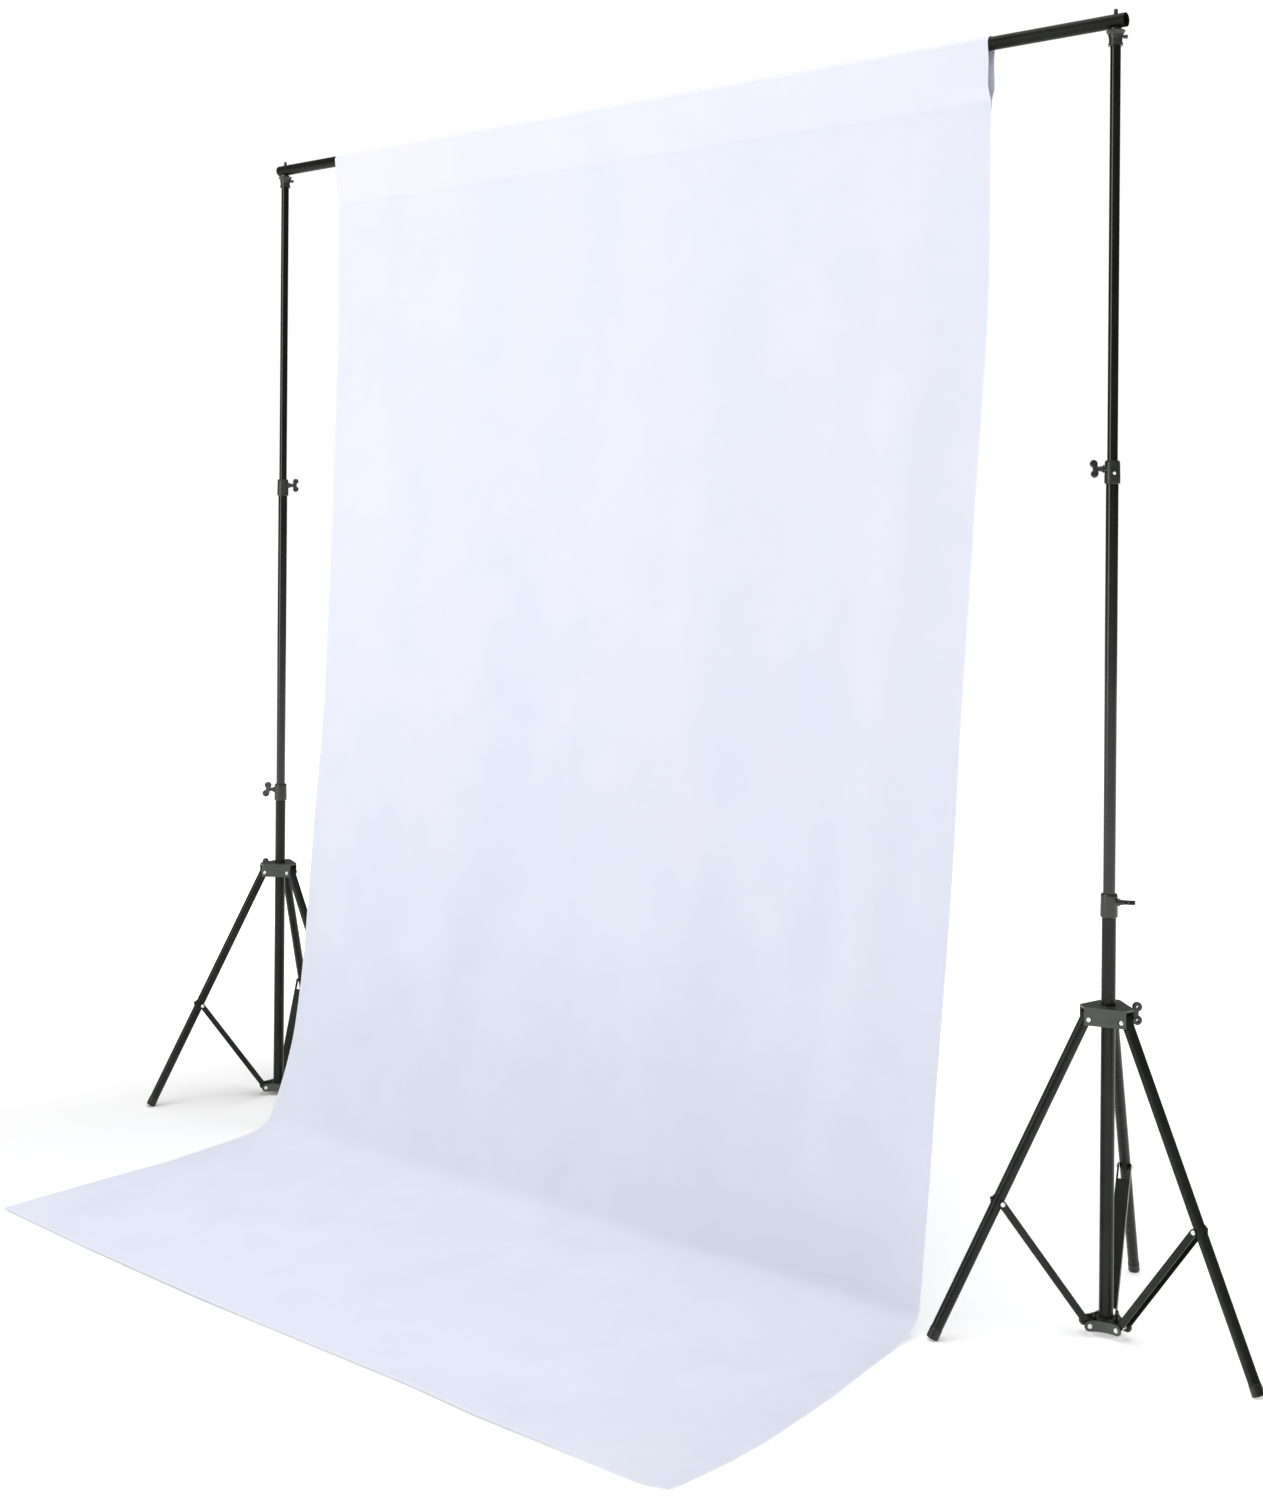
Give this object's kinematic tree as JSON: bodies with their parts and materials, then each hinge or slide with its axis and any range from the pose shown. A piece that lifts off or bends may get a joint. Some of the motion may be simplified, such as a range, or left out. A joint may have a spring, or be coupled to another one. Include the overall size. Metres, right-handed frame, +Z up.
{
  "type": "background support system",
  "caption": "Pair of telescoping tripod light stands carrying a crossbar that holds a white cloth backdrop swept forward onto the floor.",
  "frame": {"origin": "middle of the whole assembly's footprint, on the floor", "axes": "+X along the crossbar from the left stand to the right stand as seen from in front of the cloth, +Y away from the subject, +Z up"},
  "size_m": [2.3992, 1.1082, 2.055],
  "materials": {
    "tube_black": "semi-gloss black with a faint green cast",
    "strut_steel": "satin black folded strip",
    "casting": "satin black casting",
    "collar_plastic": "satin black moulding",
    "knob_plastic": "satin black moulding",
    "rubber_plastic": "matt black",
    "zinc": "bright plated",
    "cloth": "plain white non-woven cloth, slightly bluish"
  },
  "bodies": {
    "left_lower": {"left_lower_tube": "tube_black", "left_lower_clamp": "collar_plastic", "left_base_spider": "casting", "left_base_rivets": "zinc"},
    "left_middle": {"left_middle_tube": "tube_black", "left_middle_bush": "rubber_plastic", "left_middle_clamp": "collar_plastic"},
    "left_hub": {"left_hub": "casting", "left_hub_rivets": "zinc"},
    "left_lower_knob": {"left_lower_knob": "knob_plastic"},
    "left_middle_knob": {"left_middle_knob": "knob_plastic"},
    "left_hub_knob": {"left_hub_knob": "knob_plastic"},
    "left_head_screw": {"left_head_screw": "knob_plastic"},
    "left_leg_1": {"left_leg_1": "tube_black", "left_foot_1": "rubber_plastic"},
    "left_strut_1": {"left_strut_1": "strut_steel"},
    "left_leg_2": {"left_leg_2": "tube_black", "left_foot_2": "rubber_plastic"},
    "left_strut_2": {"left_strut_2": "strut_steel"},
    "left_leg_3": {"left_leg_3": "tube_black", "left_foot_3": "rubber_plastic"},
    "left_strut_3": {"left_strut_3": "strut_steel"},
    "right_lower": {"right_lower_tube": "tube_black", "right_lower_clamp": "collar_plastic", "right_base_spider": "casting", "right_base_rivets": "zinc"},
    "right_middle": {"right_middle_tube": "tube_black", "right_middle_bush": "rubber_plastic", "right_middle_clamp": "collar_plastic"},
    "right_hub": {"right_hub": "casting", "right_hub_rivets": "zinc"},
    "right_lower_knob": {"right_lower_knob": "knob_plastic"},
    "right_middle_knob": {"right_middle_knob": "knob_plastic"},
    "right_hub_knob": {"right_hub_knob": "knob_plastic"},
    "right_head_screw": {"right_head_screw": "knob_plastic"},
    "right_leg_1": {"right_leg_1": "tube_black", "right_foot_1": "rubber_plastic"},
    "right_strut_1": {"right_strut_1": "strut_steel"},
    "right_leg_2": {"right_leg_2": "tube_black", "right_foot_2": "rubber_plastic"},
    "right_strut_2": {"right_strut_2": "strut_steel"},
    "right_leg_3": {"right_leg_3": "tube_black", "right_foot_3": "rubber_plastic"},
    "right_strut_3": {"right_strut_3": "strut_steel"},
    "beam": {"crossbar_1": "tube_black", "crossbar_2": "tube_black", "crossbar_3": "tube_black", "crossbar_4": "tube_black", "left_top_tube": "tube_black", "left_top_bush": "rubber_plastic", "left_head": "collar_plastic", "left_stud": "zinc", "right_top_tube": "tube_black", "right_top_bush": "rubber_plastic", "right_head": "collar_plastic", "right_stud": "zinc", "backdrop": "cloth"}
  },
  "joints": [
    {"name": "left_lower_stage", "type": "slide", "parent": "left_lower", "child": "left_middle", "axis": [0, 0, -1], "range_m": [0, 0.58]},
    {"name": "left_upper_stage", "type": "slide", "parent": "left_middle", "child": "beam", "axis": [0, 0, -1], "range_m": [0, 0.58]},
    {"name": "right_upper_stage", "type": "slide", "parent": "beam", "child": "right_middle", "axis": [0, 0, 1], "range_m": [0, 0.58]},
    {"name": "right_lower_stage", "type": "slide", "parent": "right_middle", "child": "right_lower", "axis": [0, 0, 1], "range_m": [0, 0.58]},
    {"name": "left_hub_slide", "type": "slide", "parent": "left_lower", "child": "left_hub", "axis": [0, 0, 1], "range_m": [0, 0.07479]},
    {"name": "left_leg_1_hinge", "type": "hinge", "parent": "left_hub", "child": "left_leg_1", "pos_m": [-1.05855, 0.24792, 0.49], "axis": [0.887, -0.4617, 0], "range_deg": [0, 24.69]},
    {"name": "left_strut_1_hinge", "type": "hinge", "parent": "left_lower", "child": "left_strut_1", "pos_m": [-1.05601, 0.2528, 0.017], "axis": [-0.887, 0.4617, 0], "range_deg": [0, 33.9]},
    {"name": "left_leg_2_hinge", "type": "hinge", "parent": "left_hub", "child": "left_leg_2", "pos_m": [-1.00596, 0.28142, 0.49], "axis": [-0.0436, 0.999, 0], "range_deg": [0, 24.69]},
    {"name": "left_strut_2_hinge", "type": "hinge", "parent": "left_lower", "child": "left_strut_2", "pos_m": [-1.01146, 0.28118, 0.017], "axis": [0.0436, -0.999, 0], "range_deg": [0, 33.9]},
    {"name": "left_leg_3_hinge", "type": "hinge", "parent": "left_hub", "child": "left_leg_3", "pos_m": [-1.06127, 0.31021, 0.49], "axis": [-0.8434, -0.5373, 0], "range_deg": [0, 24.69]},
    {"name": "left_strut_3_hinge", "type": "hinge", "parent": "left_lower", "child": "left_strut_3", "pos_m": [-1.05832, 0.30558, 0.017], "axis": [0.8434, 0.5373, 0], "range_deg": [0, 33.9]},
    {"name": "left_lower_knob_turn", "type": "hinge", "parent": "left_lower", "child": "left_lower_knob", "pos_m": [-1.04193, 0.27985, 0.669], "axis": [-0.866, -0.5, 0], "range_deg": [0, 540]},
    {"name": "left_middle_knob_turn", "type": "hinge", "parent": "left_middle", "child": "left_middle_knob", "pos_m": [-1.04193, 0.27985, 1.341], "axis": [0.788, 0.6157, 0], "range_deg": [0, 540]},
    {"name": "left_hub_knob_turn", "type": "hinge", "parent": "left_hub", "child": "left_hub_knob", "pos_m": [-1.04193, 0.27985, 0.495], "axis": [-0.999, -0.0436, 0], "range_deg": [0, 540]},
    {"name": "left_head_screw_turn", "type": "hinge", "parent": "beam", "child": "left_head_screw", "pos_m": [-1.04193, 0.27985, 2.012], "axis": [0.809, 0.5878, 0], "range_deg": [0, 540]},
    {"name": "right_hub_slide", "type": "slide", "parent": "right_lower", "child": "right_hub", "axis": [0, 0, 1], "range_m": [0, 0.07479]},
    {"name": "right_leg_1_hinge", "type": "hinge", "parent": "right_hub", "child": "right_leg_1", "pos_m": [0.89802, 0.254, 0.49], "axis": [0.7181, -0.6959, 0], "range_deg": [0, 24.69]},
    {"name": "right_strut_1_hinge", "type": "hinge", "parent": "right_lower", "child": "right_strut_1", "pos_m": [0.90185, 0.25795, 0.017], "axis": [-0.7181, 0.6959, 0], "range_deg": [0, 33.9]},
    {"name": "right_leg_2_hinge", "type": "hinge", "parent": "right_hub", "child": "right_leg_2", "pos_m": [0.95799, 0.27108, 0.49], "axis": [0.2436, 0.9699, 0], "range_deg": [0, 24.69]},
    {"name": "right_strut_2_hinge", "type": "hinge", "parent": "right_lower", "child": "right_strut_2", "pos_m": [0.95265, 0.27242, 0.017], "axis": [-0.2436, -0.9699, 0], "range_deg": [0, 33.9]},
    {"name": "right_leg_3_hinge", "type": "hinge", "parent": "right_hub", "child": "right_leg_3", "pos_m": [0.91321, 0.31448, 0.49], "axis": [-0.9617, -0.274, 0], "range_deg": [0, 24.69]},
    {"name": "right_strut_3_hinge", "type": "hinge", "parent": "right_lower", "child": "right_strut_3", "pos_m": [0.91471, 0.30918, 0.017], "axis": [0.9617, 0.274, 0], "range_deg": [0, 33.9]},
    {"name": "right_lower_knob_turn", "type": "hinge", "parent": "right_lower", "child": "right_lower_knob", "pos_m": [0.92307, 0.27985, 0.669], "axis": [0.866, 0.5, 0], "range_deg": [0, 540]},
    {"name": "right_middle_knob_turn", "type": "hinge", "parent": "right_middle", "child": "right_middle_knob", "pos_m": [0.92307, 0.27985, 1.341], "axis": [-0.766, -0.6428, 0], "range_deg": [0, 540]},
    {"name": "right_hub_knob_turn", "type": "hinge", "parent": "right_hub", "child": "right_hub_knob", "pos_m": [0.92307, 0.27985, 0.495], "axis": [0.6959, 0.7181, 0], "range_deg": [0, 540]},
    {"name": "right_head_screw_turn", "type": "hinge", "parent": "beam", "child": "right_head_screw", "pos_m": [0.92307, 0.27985, 2.012], "axis": [0.809, 0.5878, 0], "range_deg": [0, 540]}
  ],
  "couplings": [
    {"joint": "right_upper_stage", "follows": "left_upper_stage", "ratio": 1},
    {"joint": "right_lower_stage", "follows": "left_lower_stage", "ratio": 1},
    {"joint": "left_leg_1_hinge", "follows": "left_hub_slide", "rad_per_m": 5.7602},
    {"joint": "left_strut_1_hinge", "follows": "left_hub_slide", "rad_per_m": 7.9111},
    {"joint": "left_leg_2_hinge", "follows": "left_hub_slide", "rad_per_m": 5.7602},
    {"joint": "left_strut_2_hinge", "follows": "left_hub_slide", "rad_per_m": 7.9111},
    {"joint": "left_leg_3_hinge", "follows": "left_hub_slide", "rad_per_m": 5.7602},
    {"joint": "left_strut_3_hinge", "follows": "left_hub_slide", "rad_per_m": 7.9111},
    {"joint": "right_leg_1_hinge", "follows": "right_hub_slide", "rad_per_m": 5.7602},
    {"joint": "right_strut_1_hinge", "follows": "right_hub_slide", "rad_per_m": 7.9111},
    {"joint": "right_leg_2_hinge", "follows": "right_hub_slide", "rad_per_m": 5.7602},
    {"joint": "right_strut_2_hinge", "follows": "right_hub_slide", "rad_per_m": 7.9111},
    {"joint": "right_leg_3_hinge", "follows": "right_hub_slide", "rad_per_m": 5.7602},
    {"joint": "right_strut_3_hinge", "follows": "right_hub_slide", "rad_per_m": 7.9111}
  ]
}
